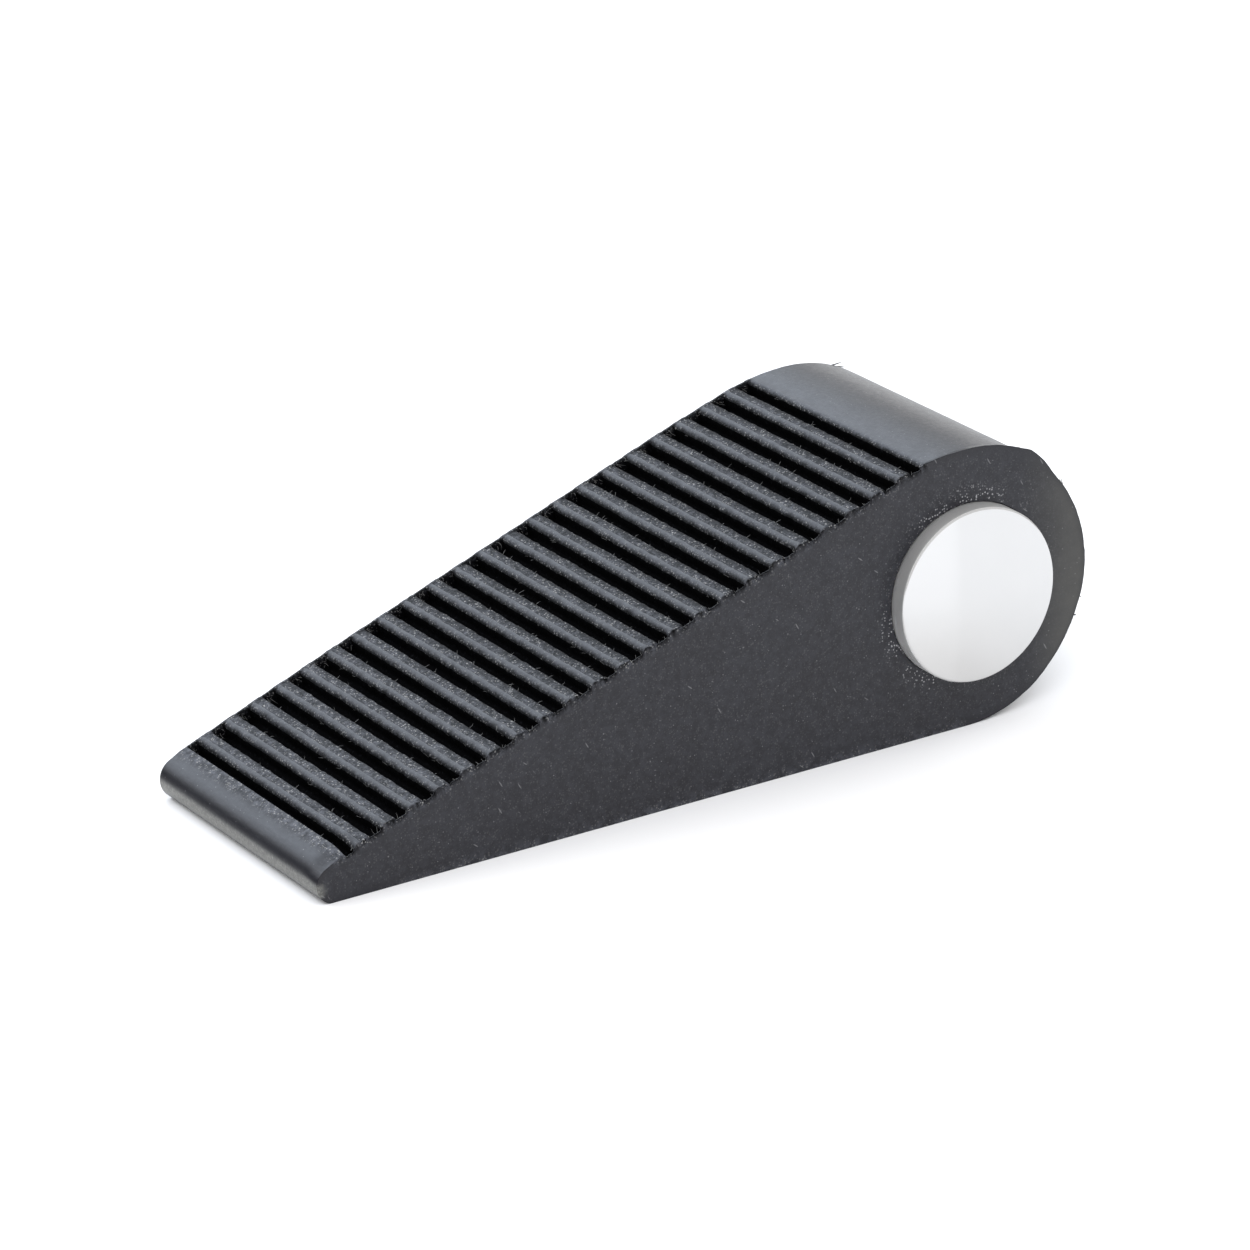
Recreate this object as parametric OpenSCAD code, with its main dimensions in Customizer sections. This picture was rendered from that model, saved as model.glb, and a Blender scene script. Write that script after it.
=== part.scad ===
// Door stop: a ribbed rubber wedge with a round heel that holds a steel core.
// A polished cap closes each end of the core, and one stud draws the two caps together.
// Frame: the origin is on the floor under the middle of the sole,
// +X runs from the toe to the heel, +Y runs across the width and +Z points up.

/* [Wedge] */
// Length from the tip of the toe to the back of the heel
body_length = 121.4; // [116:0.2:128]
// Width between the two side faces
body_width = 43; // [38:1:50]
// Diameter of the round heel, which is also the height of the wedge
heel_d = 40; // [38:0.5:42]
// Radius of the rounded toe
toe_r = 3; // [2.6:0.1:3.6]
// How far the rounded toe lies below the line of the rib tops
toe_drop = 0.3; // [0.1:0.1:0.6]
// How far the flat sole cuts into the rounding of the toe
toe_cut = 0.2; // [0.1:0.1:0.6]
// Radius of the crown that joins the ramp to the heel
crown_r = 32; // [28:1:38]

/* [Grip ribs] */
// Number of grooves across the ramp
groove_count = 23; // [12:1:23]
// Distance from one groove to the next along the ramp
groove_pitch = 4.29; // [4.1:0.01:4.3]
// Distance along the ramp from the centre of the toe to the first groove
groove_start = 2.2; // [1.8:0.1:2.6]
// Width of a groove at its floor
groove_w = 1.7; // [1.4:0.1:2]
// Depth of a groove below the ramp
groove_depth = 2; // [1.6:0.1:2.4]
// Radius of the shoulder that each rib turns towards the toe
shoulder_r = 1; // [0.6:0.1:1.2]
// Thickness of the web that closes a groove at each side face
web_t = 0.5; // [0.4:0.1:1]
// How far the top of that web lies below the ramp
web_drop = 0.15; // [0.05:0.05:0.5]

/* [Core and caps] */
// Outer diameter of the steel core and of the bore that it fills
core_d = 22; // [18:0.5:23]
// How far the axis of the core lies behind the centre of the heel
core_back = 0.5; // [0:0.1:1]
// How far the axis of the core lies below the centre of the heel
core_drop = 0.2; // [0:0.1:0.5]
// Diameter of a cap's head
cap_d = 24.8; // [24:0.2:28]
// How far the edge of a cap stands out of the side face
cap_proud = 2.6; // [2:0.1:3.5]
// How far the middle of a cap's face is crowned above its edge
cap_crown = 0.5; // [0.3:0.1:0.8]
// Radius of the edge of a cap's face
cap_edge_r = 0.35; // [0.2:0.05:0.6]
// Depth of the recess in the side face that a cap is seated in
seat_depth = 1; // [0.6:0.1:1.6]
// Diameter of the spigot behind a cap's head
spigot_d = 14; // [12:0.5:15]
// Length of that spigot
spigot_len = 6; // [5:0.5:8]
// Diameter of the threaded stud
stud_d = 6; // [5:1:6]
// Depth to which the stud is screwed into each cap
stud_grip = 7.5; // [6:0.5:8]

/* [Hidden] */
$fn = 96;
heel_r = heel_d / 2;
heel_x = body_length / 2 - heel_r;
toe_x = toe_r - body_length / 2;
toe_z = toe_r - toe_cut;
crown_z = heel_d - crown_r;
centre_span = [heel_x - toe_x, crown_z - toe_z];
crest_r = toe_r + toe_drop;
ramp_angle = atan2(centre_span[1], centre_span[0]) + asin((crown_r - crest_r) / norm(centre_span));
ramp_dir = [cos(ramp_angle), sin(ramp_angle)];
ramp_normal = [-sin(ramp_angle), cos(ramp_angle)];
// Start of the line of the rib tops, square above the centre of the toe
ramp_base = [toe_x, toe_z] + crest_r * ramp_normal;
core_x = heel_x + core_back;
core_z = heel_r - core_drop;
core_len = body_width - 2 * seat_depth;
// Free play round the stud where it passes through the core
stud_play = 0.3;
// Room left past the tip of the stud in a cap's threaded hole
tip_room = 0.5;
// Chamfer on the ends of the core and of the stud
end_chamfer = 0.6;
// How far a cutting shape runs past the face that it cuts
over = 1;
cap_face_r = cap_d / 2 - cap_edge_r;
// Largest turn between two points of a wide arc, and of a small one
wide_step = 3;
small_step = 9;
// Turn left between two arcs that meet, so that none of their points coincide
arc_gap = 3;
// Segments of the large ball that crowns a cap's face
ball_segments = 720;

// Points along an arc, from one angle to another
function arc_points(centre, r, from, to, max_step) = [
    let (steps = ceil(abs(to - from) / max_step))
        for (i = [0 : steps])
            let (angle = from + (to - from) * i / steps)
                centre + r * [cos(angle), sin(angle)]
];

// Side outline of the wedge: toe, ramp, crown, round heel and flat sole
module side_outline() {
    sole_angle = 180 + asin(toe_z / toe_r);
    ramp_side = 90 + ramp_angle;
    polygon(concat(
        arc_points([toe_x, toe_z], toe_r, sole_angle, ramp_side, small_step),
        [ramp_base + groove_start * ramp_dir],
        arc_points([heel_x, crown_z], crown_r, ramp_side, 90, wide_step),
        arc_points([heel_x, heel_r], heel_r, 90 - arc_gap, -90, wide_step)
    ));
}

// Stands an outline in the XZ plane and gives it a width along Y
module across(width) {
    rotate([90, 0, 0])
        linear_extrude(height = width, center = true)
            children();
}

// Outline of the space above one groove, in ramp coordinates, down to the given depth
module groove_outline(depth) {
    round_r = min(shoulder_r, depth);
    shoulder = [groove_w + round_r, -round_r];
    polygon(concat(
        [[groove_w + round_r, over], [0, over], [0, -depth], [groove_w, -depth]],
        arc_points(shoulder, round_r, 180, 90 + arc_gap, small_step)
    ));
}

// All the grooves, laid out along the ramp
module groove_row(depth, width) {
    across(width)
        translate(ramp_base)
            rotate(ramp_angle)
                for (i = [0 : groove_count - 1])
                    translate([groove_start + i * groove_pitch, 0])
                        groove_outline(depth);
}

module wedge_body() {
    color("#303235")
        difference() {
            across(body_width)
                side_outline();
            groove_row(groove_depth, body_width - 2 * web_t);
            groove_row(web_drop, body_width + 2 * over);
            translate([core_x, 0, core_z])
                rotate([90, 0, 0])
                    cylinder(d = core_d, h = body_width + 2 * over, center = true);
            for (side = [-1, 1])
                translate([core_x, side * (body_width / 2 - seat_depth / 2 + over / 2), core_z])
                    rotate([90, 0, 0])
                        cylinder(d = cap_d, h = seat_depth + over, center = true);
        }
}

// Half section of the core, to be turned about its axis
module core_section() {
    half = core_len / 2;
    outer = core_d / 2;
    bore = stud_d / 2 + stud_play;
    step = half - spigot_len;
    polygon([
        [bore, -step], [spigot_d / 2, -step], [spigot_d / 2, -half],
        [outer - end_chamfer, -half], [outer, end_chamfer - half],
        [outer, half - end_chamfer], [outer - end_chamfer, half],
        [spigot_d / 2, half], [spigot_d / 2, step], [bore, step]
    ]);
}

module core_weight() {
    color("#8d9094")
        translate([core_x, 0, core_z])
            rotate([90, 0, 0])
                rotate_extrude()
                    core_section();
}

// Half section of the crowned face of a cap, above the plane of its edge
module crowned_face() {
    ball_r = (cap_face_r * cap_face_r + cap_crown * cap_crown) / (2 * cap_crown);
    intersection() {
        translate([0, cap_crown - ball_r])
            circle(r = ball_r, $fn = ball_segments);
        square([cap_face_r, 2 * cap_crown]);
    }
}

// Half section of a cap: crowned head, rounded edge, spigot and threaded hole
module cap_section() {
    head = seat_depth + cap_proud;
    difference() {
        union() {
            square([cap_d / 2, head - cap_edge_r]);
            translate([0, head - cap_edge_r])
                square([cap_face_r, cap_edge_r]);
            translate([cap_face_r, head - cap_edge_r])
                intersection() {
                    circle(r = cap_edge_r);
                    square([cap_edge_r, cap_edge_r]);
                }
            translate([0, head])
                crowned_face();
            translate([0, -spigot_len])
                square([spigot_d / 2, spigot_len]);
        }
        translate([0, -spigot_len - over])
            square([stud_d / 2, stud_grip + tip_room + over]);
    }
}

// One cap, with side = -1 for the left face and side = 1 for the right face
module end_cap(side) {
    color("#d9dadb")
        translate([core_x, side * core_len / 2, core_z])
            rotate([-90 * side, 0, 0])
                rotate_extrude()
                    cap_section();
}

module left_end_cap() {
    end_cap(-1);
}

module right_end_cap() {
    end_cap(1);
}

module tie_stud() {
    half = core_len / 2 - spigot_len + stud_grip;
    r = stud_d / 2;
    color("#b7a46a")
        translate([core_x, 0, core_z])
            rotate([90, 0, 0])
                rotate_extrude()
                    polygon([
                        [0, -half], [r - end_chamfer, -half], [r, end_chamfer - half],
                        [r, half - end_chamfer], [r - end_chamfer, half], [0, half]
                    ]);
}

wedge_body();
core_weight();
left_end_cap();
right_end_cap();
tie_stud();
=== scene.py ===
import math
import random

import bpy
from mathutils import Matrix, Vector, noise


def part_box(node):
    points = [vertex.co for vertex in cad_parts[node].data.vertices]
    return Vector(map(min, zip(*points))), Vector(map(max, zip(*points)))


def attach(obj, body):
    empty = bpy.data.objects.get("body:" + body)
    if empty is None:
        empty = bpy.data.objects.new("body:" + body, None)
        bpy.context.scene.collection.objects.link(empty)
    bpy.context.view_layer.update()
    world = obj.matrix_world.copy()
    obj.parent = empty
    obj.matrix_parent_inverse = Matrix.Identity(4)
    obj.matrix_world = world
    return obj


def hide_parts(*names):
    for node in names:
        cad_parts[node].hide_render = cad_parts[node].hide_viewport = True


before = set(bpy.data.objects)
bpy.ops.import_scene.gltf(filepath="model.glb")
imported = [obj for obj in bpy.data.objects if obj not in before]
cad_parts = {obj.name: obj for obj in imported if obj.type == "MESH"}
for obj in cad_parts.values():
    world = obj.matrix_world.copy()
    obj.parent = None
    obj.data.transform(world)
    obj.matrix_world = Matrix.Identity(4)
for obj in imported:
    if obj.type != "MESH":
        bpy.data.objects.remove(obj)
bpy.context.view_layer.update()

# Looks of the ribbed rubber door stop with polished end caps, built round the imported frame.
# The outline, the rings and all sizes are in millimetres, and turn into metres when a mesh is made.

# ---------------------------------------------------------------- sizes, in millimetres
MM = 0.001


def box_mm(node):
    """Lowest and highest corner of a CAD node, in millimetres."""
    low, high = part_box(node)
    return Vector(low) / MM, Vector(high) / MM


WEDGE_HIGH = box_mm("wedge_body")[1]
CORE_LOW, CORE_HIGH = box_mm("core_weight")
CAP_LOW, CAP_HIGH = box_mm("right_end_cap")
STUD_LOW, STUD_HIGH = box_mm("tie_stud")

HALF_WIDTH = WEDGE_HIGH.y
HEEL_R = WEDGE_HIGH.z / 2
HEEL_X = WEDGE_HIGH.x - HEEL_R
TOE_R = 3.0
TOE_CUT = 0.2
TOE_DROP = 0.3
TOE_X = TOE_R - WEDGE_HIGH.x
TOE_Z = TOE_R - TOE_CUT
CROWN_R = 32.0
CROWN_Z = 2 * HEEL_R - CROWN_R

GROOVES = 23
PITCH = 4.29
FIRST_GROOVE = 2.2
GROOVE_W = 1.7
GROOVE_DEPTH = 2.0
SHOULDER_R = 1.0

AXIS_X = (CAP_LOW.x + CAP_HIGH.x) / 2
AXIS_Z = (CAP_LOW.z + CAP_HIGH.z) / 2
CAP_R = (CAP_HIGH.x - CAP_LOW.x) / 2
CORE_R = (CORE_HIGH.x - CORE_LOW.x) / 2
CORE_HALF = CORE_HIGH.y
STUD_R = (STUD_HIGH.x - STUD_LOW.x) / 2
SPIGOT_R = 7.0
CAP_CROWN = 0.5
CAP_EDGE_R = 0.35


# ---------------------------------------------------------------- camera, floor and light
CAMERA_AZIMUTH = math.radians(-31.157)
CAMERA_ELEVATION = math.radians(21.705)
CAMERA_ROLL = math.radians(-2.054)
CAMERA_DISTANCE = 0.819
CAMERA_LENS = 175.0
CAMERA_TARGET = Vector((-0.00013, 0.0, 0.01766))


def make_camera():
    data = bpy.data.cameras.new("camera")
    data.lens = CAMERA_LENS
    data.sensor_width = 36.0
    data.clip_start = 0.01
    data.clip_end = 50.0
    camera = bpy.data.objects.new("camera", data)
    bpy.context.scene.collection.objects.link(camera)
    flat = math.cos(CAMERA_ELEVATION)
    back = Vector((
        math.sin(CAMERA_AZIMUTH) * flat,
        -math.cos(CAMERA_AZIMUTH) * flat,
        math.sin(CAMERA_ELEVATION),
    ))
    right = Vector((0, 0, 1)).cross(back).normalized()
    up = back.cross(right)
    turn = Matrix((right, up, back)).transposed().to_4x4()
    place = Matrix.Translation(CAMERA_TARGET + back * CAMERA_DISTANCE)
    camera.matrix_world = place @ turn @ Matrix.Rotation(CAMERA_ROLL, 4, "Z")
    bpy.context.scene.camera = camera


def link(name, data):
    piece = bpy.data.objects.new(name, data)
    bpy.context.scene.collection.objects.link(piece)
    return piece


def make_floor():
    radius = 3.0
    sides = 96
    points = [
        (radius * math.cos(math.tau * i / sides), radius * math.sin(math.tau * i / sides), 0)
        for i in range(sides)
    ]
    mesh = bpy.data.meshes.new("floor")
    mesh.from_pydata(points, [], [list(range(sides))])
    floor = link("floor", mesh)
    mesh.materials.append(floor_material())


# What a light shows in.
DIFFUSE = "diffuse light only"
REFLECTION = "reflections only"
BOTH = "both"

WHITE = (1.0, 1.0, 1.0)
COOL_WHITE = (0.97, 0.98, 1.04)
WARM_WHITE = (1.0, 0.99, 0.98)
BLUE_WHITE = (0.80, 0.92, 1.08)
CAP_WHITE = (0.96, 0.98, 1.0)

# Area lights, in metres: (name, place, target, width and height, watts, colour, what it shows in).
LIGHTS = (
    ("front_box", (-0.6, -1.2, 1.3), (0, 0, 0), (1.2, 1.2), 19, COOL_WHITE, DIFFUSE),
    ("right_box", (1.2, -0.1, 0.8), (0, 0, 0), (1.0, 1.0), 6, WHITE, DIFFUSE),
    ("left_box", (-1.0, 0.45, 1.0), (0, 0, 0), (1.0, 1.0), 5, WARM_WHITE, BOTH),
    ("back_box", (-0.05, 1.2, 0.9), (0, 0, 0), (1.8, 0.9), 14.5, BLUE_WHITE, BOTH),
    ("horizon_strip", (0.6, 0.8, 0.04), (0, 0, 0.03), (1.0, 0.22), 1.25, WHITE, REFLECTION),
    ("cap_glow_far", (0.0373, -0.0741, 0.025), (0.0162, -0.0288, 0.025), (0.05, 0.05), 0.0005,
     CAP_WHITE, REFLECTION),
    ("cap_glow_near", (0.031, -0.0373, 0.024), (0.0205, 0.0132, 0.024), (0.0265, 0.048), 0.0002,
     CAP_WHITE, REFLECTION),
)


def aim(place, target):
    """Matrix that puts a light or a card at a place and turns its -Z axis to a target."""
    turn = (Vector(target) - Vector(place)).to_track_quat("-Z", "Y").to_matrix().to_4x4()
    return Matrix.Translation(place) @ turn


def area_light(name, place, target, size, watts, colour, shows_in):
    data = bpy.data.lights.new(name, "AREA")
    data.shape = "RECTANGLE"
    data.size, data.size_y = size
    data.energy = watts
    data.color = colour
    light = link(name, data)
    light.matrix_world = aim(place, target)
    light.visible_camera = False
    light.visible_diffuse = shows_in != REFLECTION
    light.visible_glossy = shows_in != DIFFUSE


def dark_card(name, place, target, size):
    """A black studio flag that only shows in reflections."""
    x, y = size[0] / 2, size[1] / 2
    mesh = bpy.data.meshes.new(name)
    mesh.from_pydata([(-x, -y, 0), (x, -y, 0), (x, y, 0), (-x, y, 0)], [], [(0, 1, 2, 3)])
    shader = Shader("flag_cloth")
    tone = shader.mix(shader.noise(300.0), (0.004, 0.004, 0.004, 1), (0.008, 0.008, 0.008, 1))
    mesh.materials.append(shader.finish(Base_Color=tone, Roughness=0.9, Specular_IOR_Level=0.05))
    card = link(name, mesh)
    card.matrix_world = aim(place, target)
    card.visible_camera = False
    card.visible_diffuse = False
    card.visible_shadow = False


def make_light():
    world = bpy.data.worlds.new("studio")
    bpy.context.scene.world = world
    world.use_nodes = True
    background = world.node_tree.nodes["Background"]
    background.inputs["Color"].default_value = (1.0, 1.0, 1.0, 1.0)
    background.inputs["Strength"].default_value = 1.0
    for name, place, target, size, watts, colour, shows_in in LIGHTS:
        area_light(name, place, target, size, watts, colour, shows_in)
    dark_card("toe_flag", (-0.150, 0.12, 0.042), (-0.104, 0.12, 0.131), (0.36, 0.18))


# ---------------------------------------------------------------- material helpers
class Shader:
    """A node material that is put together by short calls."""

    def __init__(self, name):
        self.material = bpy.data.materials.new(name)
        self.material.use_nodes = True
        self.tree = self.material.node_tree
        self.bsdf = self.tree.nodes["Principled BSDF"]
        self.coords = self.tree.nodes.new("ShaderNodeTexCoord").outputs["Object"]

    def feed(self, socket, value):
        """Links a socket to another, or sets it to a number or a colour."""
        if isinstance(value, bpy.types.NodeSocket):
            self.tree.links.new(value, socket)
        else:
            socket.default_value = value

    def add(self, kind, inputs=(), **settings):
        node = self.tree.nodes.new("ShaderNode" + kind)
        for key, value in settings.items():
            setattr(node, key, value)
        for key, value in dict(inputs).items():
            self.feed(node.inputs[key], value)
        return node

    def noise(self, scale, detail=3.0, rough=0.5, where=None):
        node = self.add("TexNoise", {"Vector": where or self.coords, "Scale": scale,
                                     "Detail": detail, "Roughness": rough})
        return node.outputs["Fac"]

    def stretch(self, scale, turn=0.0):
        """Object coordinates turned about Y and stretched by three factors."""
        turned = self.add("Mapping", {"Vector": self.coords, "Rotation": (0.0, turn, 0.0)})
        return self.add("Mapping", {"Vector": turned.outputs["Vector"], "Scale": scale}).outputs["Vector"]

    def math(self, operation, a, b=0.0):
        return self.add("Math", {0: a, 1: b}, operation=operation).outputs[0]

    def band(self, value, low, high, out_low=0.0, out_high=1.0):
        """Maps value from low..high to out_low..out_high, clamped and smooth."""
        node = self.add("MapRange", {"Value": value, "From Min": low, "From Max": high,
                                     "To Min": out_low, "To Max": out_high},
                        interpolation_type="SMOOTHSTEP")
        return node.outputs["Result"]

    def mix(self, factor, a, b):
        node = self.add("Mix", {"Factor": factor, 6: a, 7: b}, data_type="RGBA")
        return node.outputs[2]

    def attribute(self, name):
        return self.add("Attribute", attribute_name=name).outputs["Fac"]

    def specks(self, scale, size, share, where=None):
        """Small round specks: 1 on a speck. share is the part of the cells that hold one."""
        node = self.add("TexVoronoi", {"Vector": where or self.coords, "Scale": scale}, feature="F1")
        pick = self.add("SeparateColor", {"Color": node.outputs["Color"]}).outputs[0]
        near = self.band(node.outputs["Distance"], size, size * 0.6)
        return self.math("MULTIPLY", near, self.band(pick, share, share * 0.9))

    def bump(self, height, distance, strength=1.0, normal=None):
        inputs = {"Height": height, "Distance": distance, "Strength": strength}
        if normal:
            inputs["Normal"] = normal
        return self.add("Bump", inputs).outputs["Normal"]

    def finish(self, **inputs):
        for key, value in inputs.items():
            self.feed(self.bsdf.inputs[key.replace("_", " ")], value)
        return self.material


def floor_material():
    shader = Shader("studio_floor")
    tone = shader.mix(shader.noise(3.0), (0.80, 0.80, 0.80, 1), (0.83, 0.83, 0.83, 1))
    return shader.finish(Base_Color=tone, Roughness=0.9, Specular_IOR_Level=0.1)


# Tones of the rubber, as linear colours.
RUBBER_BLUISH = (0.0042, 0.0038, 0.0070, 1)
RUBBER_PLAIN = (0.0062, 0.0062, 0.0100, 1)
RUBBER_FINE_FLECK = (0.014, 0.015, 0.019, 1)
RUBBER_STREAK = (0.040, 0.041, 0.046, 1)
GRAIN_DARK = (0.004, 0.005, 0.008, 1)
GRAIN_PALE = (0.068, 0.072, 0.086, 1)
GRAIN_FLECK = (0.23, 0.228, 0.222, 1)
# Pale marks: the flash slivers' own paleness, and a painted sheen on the toe's lower round in place of the
# lit floor that it reflects.
FLASH_AND_SHEEN_DARK = (0.070, 0.070, 0.066, 1)
FLASH_AND_SHEEN_PALE = (0.17, 0.17, 0.155, 1)
# Paler tone towards the back of the heel.
HEEL_PALE_TONE = (0.048, 0.047, 0.043, 1)
SHADE_TONE = (0.0012, 0.0012, 0.0015, 1)
DUST_TONE = (0.36, 0.36, 0.37, 1)

# Where the paler tone at the back of the heel starts along X, and where it is strongest.
PALING_START = 49.0
PALING_FULL = 59.5


def grain_flecks(shader):
    """Ragged pale flecks on the grained rubber, from specks in coordinates that noise has bent."""
    bent = shader.add("TexNoise", {"Vector": shader.coords, "Scale": 2500.0, "Detail": 1.0}).outputs["Color"]
    bent = shader.add("VectorMath", {0: bent, "Scale": 0.0003}, operation="SCALE").outputs[0]
    bent = shader.add("VectorMath", {0: shader.coords, 1: bent}, operation="ADD").outputs[0]
    dots = shader.specks(3600.0, 0.5, 0.30, bent)
    crumbs = shader.math("MULTIPLY", shader.specks(2000.0, 0.26, 0.22, bent), 1.3)
    return shader.math("MAXIMUM", dots, crumbs)


def smooth_tone(shader, cloud):
    """Moulded rubber: nearly black, with fine flecks and faint streaks across the ramp."""
    tint = shader.mix(shader.band(cloud, 0.35, 0.65), RUBBER_BLUISH, RUBBER_PLAIN)
    fine = shader.noise(3200.0, 3.0, 0.7)
    flecked = shader.mix(shader.band(fine, 0.60, 0.85), tint, RUBBER_FINE_FLECK)
    streaks = shader.noise(1.0, 3.0, 0.6, shader.stretch((3800.0, 420.0, 3800.0)))
    return shader.mix(shader.band(streaks, 0.52, 0.72, 0.0, 0.25), flecked, RUBBER_STREAK)


def grain_tone(shader, flecks):
    """Rough rubber: mottled, with pale flecks that keep to the paler patches."""
    mottled = shader.band(shader.noise(900.0, 5.0, 0.75), 0.38, 0.64)
    tone = shader.mix(mottled, GRAIN_DARK, GRAIN_PALE)
    fleck_share = shader.math("MULTIPLY", flecks, shader.band(mottled, 0.0, 1.0, 0.45, 1.0))
    return shader.mix(fleck_share, tone, GRAIN_FLECK)


def heel_paling(shader, cloud, grained):
    """How much paler tone a point gets towards the back of the heel: all of it on the side faces, which
    are slightly grained, and half of it on the heel's round, which isn't."""
    along = shader.add("SeparateXYZ", {"Vector": shader.coords}).outputs["X"]
    paling = shader.band(along, PALING_START * MM, PALING_FULL * MM)
    paling = shader.math("MULTIPLY", paling, shader.band(grained, -0.1, 0.1))
    return shader.math("MULTIPLY", paling, shader.band(cloud, 0.25, 0.75, 0.5, 1.0))


def broken_shade(shader, inside, grained, speckle, flecks):
    """How deep in shade a point is. On grained rubber the edge of the shade is ragged."""
    uneven = shader.band(speckle, 0.62, 0.40, -0.30, 0.30)
    uneven = shader.math("ADD", uneven, shader.math("MULTIPLY", flecks, -0.45))
    shade = shader.math("ADD", inside, shader.math("MULTIPLY", uneven, grained))
    return shader.math("MULTIPLY", shader.band(shade, 0.0, 1.0), shader.band(inside, 0.0, 0.1))


def rubber_material():
    """Rubber of the whole wedge. The mesh says at each point how grained it is, how deep in painted shade,
    and how pale it is marked: pale flash, and a painted sheen low on the toe.
    """
    shader = Shader("moulded_rubber")
    grained = shader.attribute("grained")
    inside = shader.attribute("inside")
    flash_and_sheen = shader.attribute("flash_and_sheen")
    cloud = shader.noise(110.0, 4.0, 0.6)
    coarse = shader.noise(1500.0, 5.0, 0.75)
    speckle = shader.noise(2600.0, 6.0, 0.85)
    flecks = grain_flecks(shader)

    toned = shader.mix(grained, smooth_tone(shader, cloud), grain_tone(shader, flecks))
    # Pale marks: paler flash slivers, and a painted sheen band on the toe's lower round.
    toned = shader.mix(flash_and_sheen, toned, shader.mix(shader.band(speckle, 0.38, 0.66), FLASH_AND_SHEEN_DARK, FLASH_AND_SHEEN_PALE))
    toned = shader.mix(heel_paling(shader, cloud, grained), toned, HEEL_PALE_TONE)
    shade = broken_shade(shader, inside, grained, speckle, flecks)
    deep = shader.mix(shade, toned, SHADE_TONE)
    colour = shader.mix(dust_mask(shader), deep, DUST_TONE)

    rough = shader.band(coarse, 0.3, 0.7, 0.36, 0.44)
    rough = shader.math("ADD", rough, shader.math("MULTIPLY", grained, 0.24))
    relief = shader.math("MULTIPLY", coarse, shader.band(grained, 0, 1, 0.15, 0.4))
    normal = shader.bump(relief, 0.00014, 0.8)
    relief = shader.math("MULTIPLY", speckle, shader.band(grained, 0, 1, 0.12, 0.4))
    normal = shader.bump(relief, 0.0001, 0.8, normal)
    # Painted shade also dims the reflections: deep in shade the specular is tinted down to 5%.
    painted_shade_gloss = shader.mix(shade, (1.0, 1.0, 1.0, 1), (0.05, 0.05, 0.05, 1))
    return shader.finish(Base_Color=colour, Roughness=rough, Normal=normal, Specular_Tint=painted_shade_gloss, IOR=1.43)


# Dust round an end cap: how far out of the cap it is thick, and how far it reaches.
DUST_THICK = 0.4
DUST_REACH = 3.6


def cap_dust(shader):
    """Heaps of dust round the end caps, above them and at the lower side towards the toe."""
    spread = shader.add("SeparateXYZ", {"Vector": shader.coords})
    across = shader.math("SUBTRACT", spread.outputs["X"], AXIS_X * MM)
    upright = shader.math("SUBTRACT", spread.outputs["Z"], AXIS_Z * MM)
    squares = shader.math("MULTIPLY", across, across)
    squares = shader.math("ADD", squares, shader.math("MULTIPLY", upright, upright))
    from_axis = shader.math("SQRT", squares)
    near_cap = shader.band(from_axis, (CAP_R + DUST_REACH) * MM, (CAP_R + DUST_THICK) * MM)
    low_left = shader.math("MULTIPLY", across, -0.8)
    low_left = shader.math("ADD", low_left, shader.math("MULTIPLY", upright, -0.6))
    heaped = shader.math("DIVIDE", shader.math("MAXIMUM", low_left, upright), from_axis)
    heaped = shader.math("MULTIPLY", shader.band(heaped, 0.70, 0.93, 0.15, 1.0),
                         shader.band(shader.noise(260.0, 2.0), 0.36, 0.56))
    grains = shader.math("MULTIPLY", shader.specks(2700.0, 0.38, 0.62), 0.8)
    return shader.math("MULTIPLY", grains, shader.math("MULTIPLY", near_cap, heaped))


def dust_mask(shader):
    """White dust and lint: sparse everywhere, thick on the side faces round the end caps."""
    specks = shader.math("MAXIMUM", shader.specks(2900.0, 0.30, 0.03), shader.specks(1000.0, 0.14, 0.03))
    lint = shader.math("MAXIMUM", shader.specks(1.0, 0.16, 0.05, shader.stretch((1500, 1500, 260), 0.5)),
                       shader.specks(1.0, 0.16, 0.05, shader.stretch((300, 1500, 1500), -0.7)))
    loose = shader.math("MULTIPLY", shader.math("MAXIMUM", specks, lint), 0.22)
    return shader.math("MAXIMUM", loose, cap_dust(shader))


def groove_shade_material():
    """Painted shade in the grooves: the same rubber made nearly black and dull, where the grooves' shade
    falls.
    """
    shader = Shader("groove_painted_shade")
    grain = shader.noise(2200.0, 5.0, 0.7)
    tone = shader.mix(shader.band(grain, 0.55, 0.8), (0.0008, 0.0008, 0.001, 1), (0.012, 0.013, 0.015, 1))
    normal = shader.bump(grain, 0.0001, 0.8)
    return shader.finish(Base_Color=tone, Roughness=0.85, Normal=normal, Specular_IOR_Level=0.02)


def polished_material():
    shader = Shader("polished_cap")
    wall = shader.attribute("wall")
    cloud = shader.noise(180.0, 3.0)
    turned = shader.noise(1.0, 2.0, 0.5, shader.stretch((40.0, 7000.0, 40.0)))
    polish = shader.band(cloud, 0.3, 0.7, 0.13, 0.16)
    rough = shader.math("ADD", polish, shader.math("MULTIPLY", wall, 0.52))
    tone = shader.mix(cloud, (0.580, 0.578, 0.575, 1), (0.608, 0.605, 0.601, 1))
    # The wall is rougher, as turned steel is, and is also given a paler tone than the face of the same steel:
    # painted light that brightens the wall.
    tone = shader.mix(shader.math("MULTIPLY", wall, 0.8), tone, (0.80, 0.80, 0.795, 1))
    normal = shader.bump(shader.math("MULTIPLY", turned, wall), 0.00001, 0.5)
    return shader.finish(Base_Color=tone, Metallic=1.0, Roughness=rough, Normal=normal)


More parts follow.
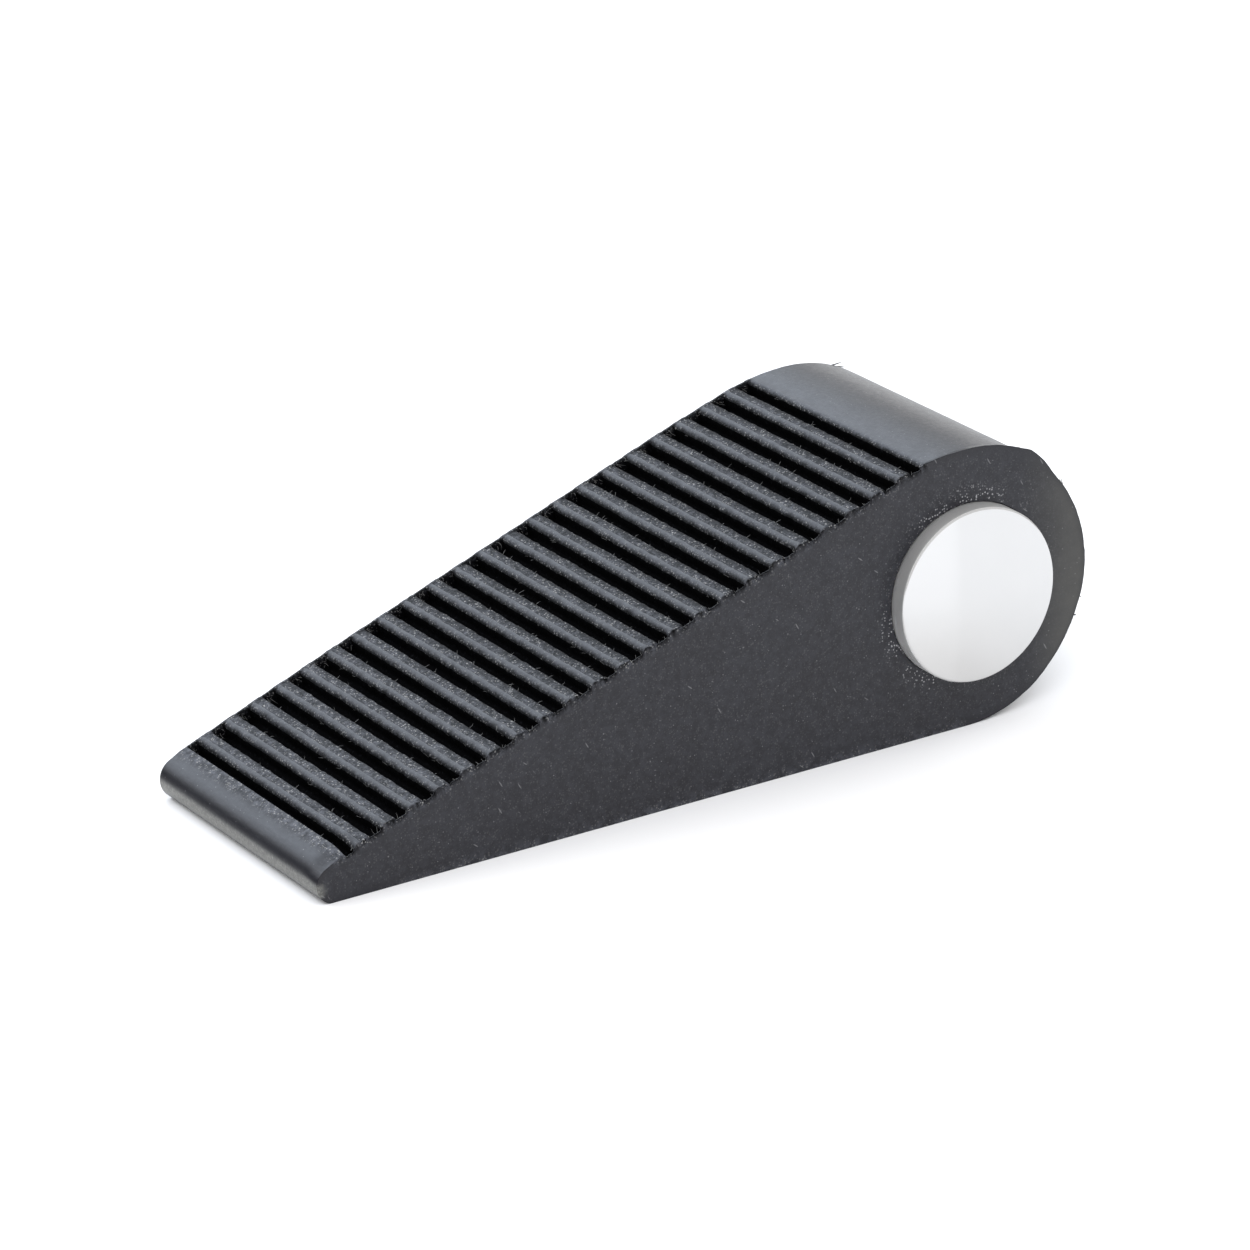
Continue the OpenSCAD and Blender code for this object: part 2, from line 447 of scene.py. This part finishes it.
def turned_material(name, dark, light, rough):
    shader = Shader(name)
    rings = shader.noise(1.0, 2.0, 0.5, shader.stretch((60.0, 9000.0, 60.0)))
    tone = shader.mix(shader.band(rings, 0.3, 0.7), dark, light)
    normal = shader.bump(rings, 0.00002, 0.5)
    roughness = shader.band(rings, 0.3, 0.7, rough, rough + 0.12)
    return shader.finish(Base_Color=tone, Metallic=1.0, Roughness=roughness, Normal=normal)


# ---------------------------------------------------------------- outline of the wedge
SPAN = Vector((HEEL_X - TOE_X, CROWN_Z - TOE_Z))
RAMP_ANGLE = math.atan2(SPAN.y, SPAN.x) + math.asin((CROWN_R - TOE_R - TOE_DROP) / SPAN.length)
RAMP_DIR = Vector((math.cos(RAMP_ANGLE), math.sin(RAMP_ANGLE)))
RAMP_NORMAL = Vector((-RAMP_DIR.y, RAMP_DIR.x))
RAMP_BASE = Vector((TOE_X, TOE_Z)) + (TOE_R + TOE_DROP) * RAMP_NORMAL


class Point:
    """One point of the outline: where it is, its outward normal, and from 0 to 1 how grained, how deep in
    painted shade and how pale it is marked: pale flash, and a painted sheen low on the toe. On the ribbed
    ramp it also has its distance along the ramp, its height over it, and whether it belongs to a groove or a
    rib."""

    def __init__(self, spot, normal, grained=0.0, inside=0.0, along=None, height=0.0, groove=False):
        self.spot = spot
        self.normal = normal
        self.grained = grained
        self.inside = inside
        self.along = along
        self.height = height
        self.groove = groove
        self.flash_and_sheen = 0.0


def arc(centre, radius, start, end, steps):
    points = []
    for i in range(steps + 1):
        angle = start + (end - start) * i / steps
        normal = Vector((math.cos(angle), math.sin(angle)))
        points.append(Point(centre + radius * normal, normal))
    return points


CROWN_START = (Vector((HEEL_X, CROWN_Z)) - RAMP_BASE).dot(RAMP_DIR)


def ramp_spot(along, height):
    """The place at a distance along the ramp and a height over it, following the crown past its start."""
    past = max(0.0, along - CROWN_START)
    fall = CROWN_R - math.sqrt(CROWN_R ** 2 - past ** 2)
    return RAMP_BASE + along * RAMP_DIR + (height - fall) * RAMP_NORMAL


def ramp_point(along, height, grained=0.0, inside=0.0, groove=True):
    return Point(ramp_spot(along, height), RAMP_NORMAL, grained, inside, along, height, groove)


# One groove and the rib behind it, from sharp edge to sharp edge: (along, height, grained, in shade).
RIB_TOP = (
    (2.85, 0.00, 0.0, 0.0),
    (2.96, -0.03, 0.3, 0.18),
    (3.03, -0.11, 0.8, 0.60),
    (3.10, -0.08, 1.0, 0.28),
    (3.50, -0.08, 1.0, 0.52),
    (3.80, -0.12, 1.0, 0.68),
    (4.05, -0.17, 1.0, 0.76),
    (4.24, -0.24, 0.9, 0.80),
)
GROOVE_EDGE = ((0.04, -0.40, 0.8, 0.80), (0.10, -0.7, 0.6, 0.92), (0.14, -1.4, 0.6, 1.0))
CORNER_R = 0.3
FIRST_DELAY = 0.45

# Ribs near the toe get less painted shade: the share of its painted shade that the first keeps, and over how
# many ribs the share grows back to all of it.
FIRST_SHADE_SHARE = 0.55
LESS_SHADED_RIBS = 9

# The smooth strip between the toe and the first groove: (along, height, grained).
TOE_STRIP = (
    (0.5, -0.24, 0.1),
    (1.0, -0.17, 0.5),
    (1.5, -0.11, 1.0),
    (2.1, -0.08, 1.0),
    (2.55, -0.09, 1.0),
)


def groove_points(index):
    start = FIRST_GROOVE + index * PITCH
    delay = FIRST_DELAY if index == 0 else 0.0
    points = [ramp_point(start + delay + along, height, grained, inside)
              for along, height, grained, inside in GROOVE_EDGE]
    for centre, first in ((delay + 0.16 + CORNER_R, math.pi), (GROOVE_W - CORNER_R - 0.03, 1.5 * math.pi)):
        for i in range(4):
            angle = first + i / 3 * math.pi / 2
            points.append(ramp_point(start + centre + CORNER_R * math.cos(angle),
                                     CORNER_R * (1 + math.sin(angle)) - GROOVE_DEPTH, 0.6, 1.0))
    for i in range(10):
        angle = math.pi - i / 9 * math.pi / 2
        height = SHOULDER_R * (math.sin(angle) - 1)
        shade = min(1.0, max(0.0, 1.40 * math.sqrt(-height) - 0.08))
        points.append(ramp_point(start + GROOVE_W + SHOULDER_R * (1 + math.cos(angle)), height,
                                 0.15 + 0.55 * min(1.0, shade * 2), shade))
    shade_share = FIRST_SHADE_SHARE + (1 - FIRST_SHADE_SHARE) * min(1.0, index / LESS_SHADED_RIBS)
    if index < GROOVES - 1:
        points += [ramp_point(start + along, height, grained, inside * shade_share)
                   for along, height, grained, inside in RIB_TOP]
    return points


SOLE_GRAIN = 0.5


def outline():
    """The whole outline: from the sole's edge at the toe, over the ramp and the heel, back along the sole."""
    toe = Vector((TOE_X, TOE_Z))
    sole_angle = math.pi + math.asin(TOE_Z / TOE_R)
    points = arc(toe, TOE_R, sole_angle, math.pi / 2 + RAMP_ANGLE, 26)
    # Painted sheen: a pale band low on the toe's round, standing in for the reflection of the lit floor.
    for p in points:
        angle = math.degrees(math.atan2(-p.normal.y, -p.normal.x)) + 180
        p.flash_and_sheen = ease(angle, 166.0, 182.0) * ease(226.0 - angle, 0.0, 22.0)
    points += [ramp_point(along, height, grained, 0.0, False) for along, height, grained in TOE_STRIP]
    for index in range(GROOVES):
        points += groove_points(index)
    crown = Vector((HEEL_X, CROWN_Z))
    last = points[-1].spot - crown
    last_angle = math.atan2(last.y, last.x)
    points += arc(crown, CROWN_R, last_angle - 0.012, math.pi / 2, 8)
    points += arc(Vector((HEEL_X, HEEL_R)), HEEL_R, math.pi / 2 - 0.04, -math.pi / 2, 88)
    down = Vector((0.0, -1.0))
    start_angle = math.atan2(-AXIS_Z, HEEL_X - AXIS_X)
    end_angle = math.atan2(-AXIS_Z, TOE_X - TOE_R * math.cos(sole_angle - math.pi) - AXIS_X)
    steps = 30
    for i in range(1, steps):
        angle = start_angle + (end_angle - start_angle) * i / steps
        points.append(Point(Vector((AXIS_X - AXIS_Z / math.tan(angle), 0.0)), down, SOLE_GRAIN))
    return points


# ---------------------------------------------------------------- meshes
def make_object(name, vertices, faces, materials):
    mesh = bpy.data.meshes.new(name)
    mesh.from_pydata(vertices, [], faces)
    mesh.update()
    mesh.shade_smooth()
    for material in materials:
        mesh.materials.append(material)
    piece = link(name, mesh)
    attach(piece, "root")
    return piece


def set_attribute(mesh, name, values):
    layer = mesh.attributes.new(name, "FLOAT", "POINT")
    layer.data.foreach_set("value", values)


def ring_faces(rings, count):
    """Quads between neighbouring rings of count points each, and from the last ring back to the first."""
    faces = []
    for r in range(rings):
        here = r * count
        there = ((r + 1) % rings) * count
        for i in range(count):
            j = (i + 1) % count
            faces.append((here + i, here + j, there + j, there + i))
    return faces


def wave(x, y, seed=0.0):
    """Smooth noise from -1 to 1."""
    return noise.noise(Vector((x, y, seed)))


def ease(value, low, high):
    """0 below low, 1 above high, smooth between."""
    share = min(1.0, max(0.0, (value - low) / (high - low)))
    return share * share * (3 - 2 * share)


# ---------------------------------------------------------------- the rubber wedge
EDGE_R = 0.07
SIDE_MARGIN = 1.5
MIDDLE_STEPS = 72
FAR_WARP = 0.42
TOE_WEAR = 0.45
RAMP_LENGTH = FIRST_GROOVE + GROOVES * PITCH


class Station:
    """One ring of the wedge: its distance from the middle plane, how open the grooves are there (1 open,
    0 closed up to the web's top), how far the ribs' ends have dropped to the rim, and the edge's rounding."""

    def __init__(self, y, is_open=1.0, end=0.0, inset=0.0):
        self.y = y
        self.side = 1 if y > 0 else -1
        self.is_open = is_open
        self.end = end
        self.inset = inset


# Rings from the middle part to a side face: (distance in from the face, grooves open, ribs dropped).
FAR_STATIONS = (
    (1.45, 1.00, 0.00),
    (1.00, 1.00, 0.10),
    (0.72, 1.00, 0.30),
    (0.66, 0.85, 0.40),
    (0.59, 0.60, 0.45),
    (0.53, 0.35, 0.55),
    (0.47, 0.00, 0.60),
    (0.30, 0.00, 0.90),
)
NEAR_STATIONS = (
    (1.20, 1.00, 0.00),
    (0.60, 1.00, 0.05),
    (0.36, 1.00, 0.12),
    (0.30, 0.80, 0.18),
    (0.26, 0.55, 0.22),
    (0.22, 0.25, 0.30),
    (0.19, 0.00, 0.40),
    (0.12, 0.00, 0.75),
)


def side_stations(side):
    rows = FAR_STATIONS if side > 0 else NEAR_STATIONS
    stations = [Station(side * (HALF_WIDTH - inward), is_open, end) for inward, is_open, end in rows]
    for i in range(3):
        angle = math.pi / 2 * i / 2
        y = HALF_WIDTH - EDGE_R + EDGE_R * math.sin(angle)
        stations.append(Station(side * y, 0.0, 1.0, EDGE_R * (1 - math.cos(angle))))
    return stations


def rim_height(along, side):
    """Height of a web's top over the ramp: a straight far rim, a torn and lower near one."""
    phase = (along - FIRST_GROOVE) % PITCH
    rib = ease(phase, GROOVE_W - 0.1, GROOVE_W + 0.5) * ease(PITCH - phase, 0.0, 0.5)
    if along < FIRST_GROOVE or along > FIRST_GROOVE + (GROOVES - 1) * PITCH + GROOVE_W:
        rib = 1.0
    if side > 0:
        return -0.07 + 0.06 * rib + 0.04 * wave(along * 1.7, 3.0)
    jagged = wave(along * 2.6, 7.0) * 0.16 + wave(along * 7.0, 9.0) * 0.10
    return -0.55 + 0.42 * rib + jagged * (1.3 - 0.9 * rib)


def warp(along, y):
    """The moulding is a little fuller towards the far side, in the middle of the ramp."""
    full = ease(along, -2.0, 34.0) * ease(RAMP_LENGTH + 2.0 - along, 0.0, 22.0)
    return FAR_WARP * full * ease(y, -HALF_WIDTH, HALF_WIDTH)


def toe_fall(spot, y):
    """How far the near end of the toe is abraded down."""
    near_end = ease(-y, HALF_WIDTH - 3.5, HALF_WIDTH)
    return TOE_WEAR * near_end * ease(spot.y, 2.0, 5.5) * ease(TOE_X + 5.5 - spot.x, 0, 3)


def ramp_vertex(p, station):
    rim = rim_height(p.along, station.side)
    height = p.height
    if p.groove and height < rim:
        height = rim + (height - rim) * station.is_open
    drop = max(0.0, height - rim)
    height -= drop * station.end
    y = station.y
    uneven = 0.035 * wave(p.along * 0.8, y * 0.5, 1.0) + 0.02 * wave(p.along * 2.2, y * 1.6, 2.0)
    along = p.along
    if p.groove:
        along += 0.10 * wave(p.along * 0.3, y * 0.7, 5.0) + 0.09 * wave(p.along * 0.8, y * 2.3, 6.0)
    spot = ramp_spot(along, height + uneven + warp(p.along, y))
    spot.y -= toe_fall(spot, y)
    return spot - station.inset * p.normal


# The hump that the trimmed flash makes at the heel's near edge: (angle about the heel's centre, height).
HUMP = ((40.0, 0.0), (44.0, 0.13), (50.0, 0.56), (57.0, 0.86), (62.0, 0.58), (68.0, 0.42), (88.0, 0.0))


def knotted(value, knots):
    """A broken line through the knots, level before the first and after the last."""
    if value <= knots[0][0]:
        return knots[0][1]
    for (start, low), (end, high) in zip(knots, knots[1:]):
        if value <= end:
            return low + (high - low) * (value - start) / (end - start)
    return knots[-1][1]


def lip_height(angle, side):
    """How far the flash stands out at the heel's edges, by the angle about the heel's centre."""
    if side < 0:
        hump = knotted(angle, HUMP)
        flat = -0.20 * ease(angle, -58.0, -40.0) * ease(-8.0 - angle, 0.0, 14.0)
        return hump + flat + 0.05 * wave(angle * 0.25, 4.0) + 0.06 * wave(angle * 0.9, 6.0)
    return 0.04 * wave(angle * 0.3, 8.0)


def heel_vertex(p, station):
    out = p.spot - Vector((HEEL_X, HEEL_R))
    angle = math.degrees(math.atan2(out.y, out.x))
    near_edge = ease(abs(station.y), HALF_WIDTH - 0.5, HALF_WIDTH - 0.2)
    lift = lip_height(angle, station.side) * near_edge * ease(angle, -80.0, -60.0)
    uneven = 0.02 * wave(angle * 0.12, station.y * 0.25, 3.0) - 0.02
    spot = p.spot + (lift + uneven * ease(p.spot.y, 0.4, 2.0) - station.inset) * p.normal
    spot.y -= toe_fall(spot, station.y)
    return Vector((min(spot.x, HEEL_X + HEEL_R), min(spot.y, 2 * HEEL_R)))


def skin_ring(points, station):
    ring = []
    for p in points:
        spot = ramp_vertex(p, station) if p.along is not None else heel_vertex(p, station)
        ring.append(Vector((spot.x, station.y, max(spot.y, 0.0))))
    return ring


def towards_axis(ring, radius, y):
    """A ring of the same points, moved radially onto a circle round the core's axis."""
    moved = []
    for spot in ring:
        out = Vector((spot.x - AXIS_X, spot.z - AXIS_Z)).normalized()
        moved.append(Vector((AXIS_X + radius * out.x, y, AXIS_Z + radius * out.y)))
    return moved


def between(first, second, share):
    return [a.lerp(b, share) for a, b in zip(first, second)]


def side_rings(points, sign):
    """Rings from just inside a side face's ragged edge to the bottom of the cap's seat and to the bore."""
    seat_r = CAP_R + 0.06
    edge = 0.12
    outer = []
    for p in points:
        spot = p.spot - SIDE_MARGIN * p.normal if p.along is None else ramp_spot(p.along, -SIDE_MARGIN)
        outer.append(Vector((spot.x, sign * HALF_WIDTH, spot.y)))
    rim = towards_axis(outer, seat_r + edge, sign * HALF_WIDTH)
    rings = [between(outer, rim, share) for share in (0.0, 0.5, 1.0)]
    rings.append(towards_axis(outer, seat_r + edge * 0.3, sign * (HALF_WIDTH - edge * 0.3)))
    rings.append(towards_axis(outer, seat_r, sign * (HALF_WIDTH - edge)))
    rings.append(towards_axis(outer, seat_r, sign * CORE_HALF))
    rings.append(towards_axis(outer, CORE_R, sign * CORE_HALF))
    return rings


def sliver(root, direction, length, radius, curl):
    """A thin bent spike of flash, closed at both ends: its vertices and faces."""
    direction = direction.normalized()
    across = direction.orthogonal().normalized()
    third = direction.cross(across)
    vertices = []
    steps = 4
    for i in range(steps):
        share = i / steps
        centre = root + direction * (length * share) + curl * (length * share * share)
        size = radius * (1 - 0.6 * share)
        vertices += [centre + across * size, centre + third * size * 0.6, centre - across * size,
                     centre - third * size * 0.6]
    vertices.append(root + direction * length + curl * length)
    faces = [(0, 3, 2, 1)]
    for i in range(steps - 1):
        faces += [(4 * i + k, 4 * i + (k + 1) % 4, 4 * i + 4 + (k + 1) % 4, 4 * i + 4 + k) for k in range(4)]
    top = 4 * (steps - 1)
    faces += [(top + k, top + (k + 1) % 4, 4 * steps) for k in range(4)]
    return vertices, faces


def ramp_place(along, height, y):
    spot = ramp_spot(along, height + warp(along, y))
    return Vector((spot.x, y, spot.y))


# Whiskers at the heel: (angle about its centre, Y, lean outwards, lean along the rim, length).
WHISKERS = (
    (68.0, 21.4, 0.50, 1.0, 1.9),
    (66.0, 21.4, 0.16, 1.0, 1.9),
    (34.5, -21.4, 0.40, -1.0, 1.3),
    (35.5, -21.4, 0.22, -1.0, 0.9),
    (-16.0, -21.3, 1.0, 0.6, 0.45),
    (-24.0, -21.4, 0.9, -0.4, 0.35),
)
WHISKER_R = 0.13
HAIR_R = 0.05

FAR_HAIRS = 4
NEAR_HAIRS = 2
GROOVE_HAIRS = 9


def groove_hairs(start, rng):
    """Hairs of flash in one groove that starts at a distance along the ramp: on its webs and on its edges."""
    rise = Vector((RAMP_NORMAL.x, 0.0, RAMP_NORMAL.y))
    run = Vector((RAMP_DIR.x, 0.0, RAMP_DIR.y))
    over = Vector((0.0, 1.0, 0.0))
    hairs = []

    def grow(root, direction, length, radius):
        curl = Vector([rng.uniform(-0.5, 0.5) for _ in range(3)])
        hairs.append(sliver(root, direction, length, radius, curl))

    for _ in range(FAR_HAIRS):
        root = ramp_place(start + rng.uniform(0.1, 1.6), rng.uniform(-1.1, -0.25), HALF_WIDTH - 0.62)
        grow(root, -over + rise * rng.uniform(-0.6, 0.6) + run * rng.uniform(-0.8, 0.8),
             rng.uniform(0.4, 1.1), rng.uniform(0.035, 0.06))
    for _ in range(NEAR_HAIRS):
        root = ramp_place(start + rng.uniform(0.1, 1.7), -0.6, -HALF_WIDTH + 0.15)
        grow(root, rise + over * rng.uniform(-0.4, 0.9) + run * rng.uniform(-0.8, 0.8),
             rng.uniform(0.3, 0.65), rng.uniform(0.05, 0.11))
    for _ in range(GROOVE_HAIRS):
        y = rng.uniform(-0.9, 0.9) * HALF_WIDTH
        if rng.random() < 0.5:
            root = ramp_place(start + 0.02, -0.35, y)
            grow(root, run + rise * rng.uniform(0.0, 0.5) + over * rng.uniform(-1, 1),
                 rng.uniform(0.3, 0.75), HAIR_R)
        else:
            root = ramp_place(start + GROOVE_W + 0.12, -0.6, y)
            grow(root, rise - run * rng.uniform(0.0, 1.0) + over * rng.uniform(-1, 1),
                 rng.uniform(0.3, 0.7), HAIR_R)
    return hairs


def heel_whiskers():
    """The few long whiskers of flash that stand out at the heel's edges."""
    whiskers = []
    for angle, y, out, aside, length in WHISKERS:
        turn = math.radians(angle)
        normal = Vector((math.cos(turn), 0.0, math.sin(turn)))
        tangent = Vector((math.sin(turn), 0.0, -math.cos(turn)))
        root = Vector((HEEL_X, y, HEEL_R)) + normal * (HEEL_R - 0.1)
        curl = Vector((0.0, 0.1, -0.05))
        whiskers.append(sliver(root, normal * out + tangent * aside, length, WHISKER_R, curl))
    return whiskers


def flash_slivers():
    """All the flash left by the mould."""
    rng = random.Random(11)
    slivers = []
    for index in range(GROOVES):
        slivers += groove_hairs(FIRST_GROOVE + index * PITCH, rng)
    return slivers + heel_whiskers()


# Grain of what the outline's points don't set: the side faces and the bore, and the slivers of flash.
SIDE_GRAIN = 0.12
SLIVER_GRAIN = 0.3
SLIVER_WEAR = 0.55
FAR_WEB_GRAIN = 0.8
NEAR_WEB_GRAIN = 0.35

# The painted shadow line just inside the heel's near edge, under the flash lip: how far in from the face, and
# on what part of the heel.
LIP_FROM = 0.15
LIP_TO = 0.4
LIP_Z = 36.0
LIP_X = HEEL_X + 2

# Faces with all corners deeper in shade than this get the grooves' painted-shade material.
DEEP_SHADE = 0.9


def on_lip_shadow(p, station):
    inward = HALF_WIDTH - abs(station.y)
    at_heel = p.along is None and p.spot.y > LIP_Z and p.spot.x < LIP_X
    return station.side < 0 and at_heel and LIP_FROM < inward < LIP_TO


def surface(p, station):
    """How grained, how deep in painted shade and how pale marked (pale flash, painted sheen) the rubber is at
    a point of a ring.
    """
    closed = 1 - station.is_open
    jagged = 0.55 + 0.9 * wave((p.along or 0.0) * 1.5, station.y * 2.0, 11.0)
    dark = p.inside * (1.0 - 0.25 * closed)
    # Painted shade along the near edge, where the ribs' ends drop to the rim, broken up unevenly.
    if station.side < 0 and p.groove:
        dark = max(dark, min(1.0, 1.6 * station.end) * jagged)
    # Painted shadow of the flash lip just inside the heel's near edge.
    if on_lip_shadow(p, station):
        dark = max(dark, 1.3 * jagged)
    web_grain = FAR_WEB_GRAIN if station.side > 0 else NEAR_WEB_GRAIN
    grained = max(p.grained, closed * web_grain if p.groove else 0.0)
    return grained, min(1.0, max(0.0, dark)), p.flash_and_sheen


def wedge_stations():
    """The rings' stations from the near side face to the far one."""
    near = side_stations(-1)
    far = side_stations(1)
    reach = far[0].y
    middle = [Station(-reach + 2 * reach * i / MIDDLE_STEPS) for i in range(1, MIDDLE_STEPS)]
    return list(reversed(near)) + middle + far


def make_wedge():
    points = outline()
    count = len(points)
    stations = wedge_stations()
    rings = [skin_ring(points, station) for station in stations]
    far_side = side_rings(points, 1)
    near_side = side_rings(points, -1)
    rings += far_side + [between(far_side[-1], near_side[-1], share) for share in (0.33, 0.67)]
    rings += list(reversed(near_side))

    surfaces = [surface(p, station) for station in stations for p in points]
    surfaces += [(SIDE_GRAIN, 0.0, 0.0)] * ((len(rings) - len(stations)) * count)
    vertices = [spot for ring in rings for spot in ring]
    faces = ring_faces(len(rings), count)
    ring_face_count = len(faces)
    for sliver_vertices, sliver_faces in flash_slivers():
        offset = len(vertices)
        vertices += sliver_vertices
        faces += [tuple(offset + k for k in face) for face in sliver_faces]
        surfaces += [(SLIVER_GRAIN, 0.0, SLIVER_WEAR)] * len(sliver_vertices)

    vertices = [tuple(v * MM) for v in vertices]
    materials = [rubber_material(), groove_shade_material()]
    wedge = make_object("rubber_wedge", vertices, faces, materials)
    grained, inside, flash_and_sheen = zip(*surfaces)
    set_attribute(wedge.data, "grained", grained)
    set_attribute(wedge.data, "inside", inside)
    set_attribute(wedge.data, "flash_and_sheen", flash_and_sheen)
    skin_faces = (len(stations) - 1) * count
    side_faces = 3 * count
    for face in wedge.data.polygons:
        if all(inside[v] > DEEP_SHADE for v in face.vertices):
            face.material_index = 1
        on_far_side = skin_faces <= face.index < skin_faces + side_faces
        on_near_side = ring_face_count - side_faces <= face.index < ring_face_count
        if on_far_side or on_near_side:
            face.use_smooth = False
    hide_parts("wedge_body")


# ---------------------------------------------------------------- turned parts
LATHE_STEPS = 160


def lathe(name, section, sign, material):
    """Turns an open section of (radius, distance outwards) about the core's axis, from pole to pole."""
    ends = section[0], section[-1]
    section = section[1:-1]
    count = len(section)
    vertices = []
    for i in range(LATHE_STEPS):
        angle = math.tau * i / LATHE_STEPS
        for radius, along in section:
            vertices.append(((AXIS_X + radius * math.cos(angle)) * MM, sign * along * MM,
                             (AXIS_Z + radius * math.sin(angle)) * MM))
    vertices += [(AXIS_X * MM, sign * along * MM, AXIS_Z * MM) for _, along in ends]
    outer_pole = LATHE_STEPS * count
    faces = []
    for i in range(LATHE_STEPS):
        here = i * count
        there = (i + 1) % LATHE_STEPS * count
        faces += [(here + k, there + k, there + k + 1, here + k + 1) for k in range(count - 1)]
        faces.append((outer_pole, there, here))
        faces.append((here + count - 1, there + count - 1, outer_pole + 1))
    if sign < 0:
        faces = [tuple(reversed(face)) for face in faces]
    return make_object(name, vertices, faces, [material])


def cap_section(outer_face):
    """Section of an end cap, as (radius, distance from the middle plane)."""
    rim = outer_face - CAP_CROWN
    face_r = CAP_R - CAP_EDGE_R
    ball_r = (face_r ** 2 + CAP_CROWN ** 2) / (2 * CAP_CROWN)
    hole_end = STUD_HIGH.y + 0.5
    spigot_end = CORE_HALF - 6.0
    section = []
    for i in range(25):
        radius = face_r * i / 24
        section.append((radius, outer_face - ball_r + math.sqrt(ball_r ** 2 - radius ** 2)))
    for i in range(1, 8):
        angle = math.pi / 2 * (1 - i / 7)
        along = rim - CAP_EDGE_R * (1 - math.sin(angle))
        section.append((face_r + CAP_EDGE_R * math.cos(angle), along))
    for along in (rim - 0.45, rim - 0.8, rim - 1.4, rim - 2.2, CORE_HALF + 0.2):
        section.append((CAP_R, along))
    section += [(CAP_R - 0.15, CORE_HALF), (SPIGOT_R + 0.2, CORE_HALF), (SPIGOT_R, CORE_HALF)]
    section += [(SPIGOT_R, spigot_end + 0.4), (SPIGOT_R - 0.4, spigot_end), (STUD_R + 0.3, spigot_end)]
    section += [(STUD_R, spigot_end + 0.3), (STUD_R, hole_end), (0.0, hole_end + 0.6)]
    return section


# The end caps: (name, CAD node, side).
CAPS = (
    ("polished_cap_left", "left_end_cap", -1),
    ("polished_cap_right", "right_end_cap", 1),
)


def make_caps():
    material = polished_material()
    for name, node, sign in CAPS:
        low, high = box_mm(node)
        outer_face = max(abs(low.y), abs(high.y))
        section = cap_section(outer_face)
        cap = lathe(name, section, sign, material)
        wall = [1.0 if radius > CAP_R - 0.05 and along < outer_face - CAP_CROWN - 0.1 else 0.0
                for radius, along in section[1:-1]]
        set_attribute(cap.data, "wall", wall * (len(cap.data.vertices) // len(wall)) + [0.0, 0.0])
        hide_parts(node)


def make_inner_parts():
    steel = turned_material("turned_core", (0.30, 0.30, 0.31, 1), (0.48, 0.48, 0.49, 1), 0.30)
    zinc = turned_material("zinc_stud", (0.52, 0.47, 0.30, 1), (0.68, 0.63, 0.45, 1), 0.28)
    for node, material in (("core_weight", steel), ("tie_stud", zinc)):
        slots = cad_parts[node].data.materials
        slots.clear()
        slots.append(material)


# ---------------------------------------------------------------- the scene
bpy.context.scene.view_settings.view_transform = "Standard"
make_camera()
make_floor()
make_light()
make_wedge()
make_caps()
make_inner_parts()
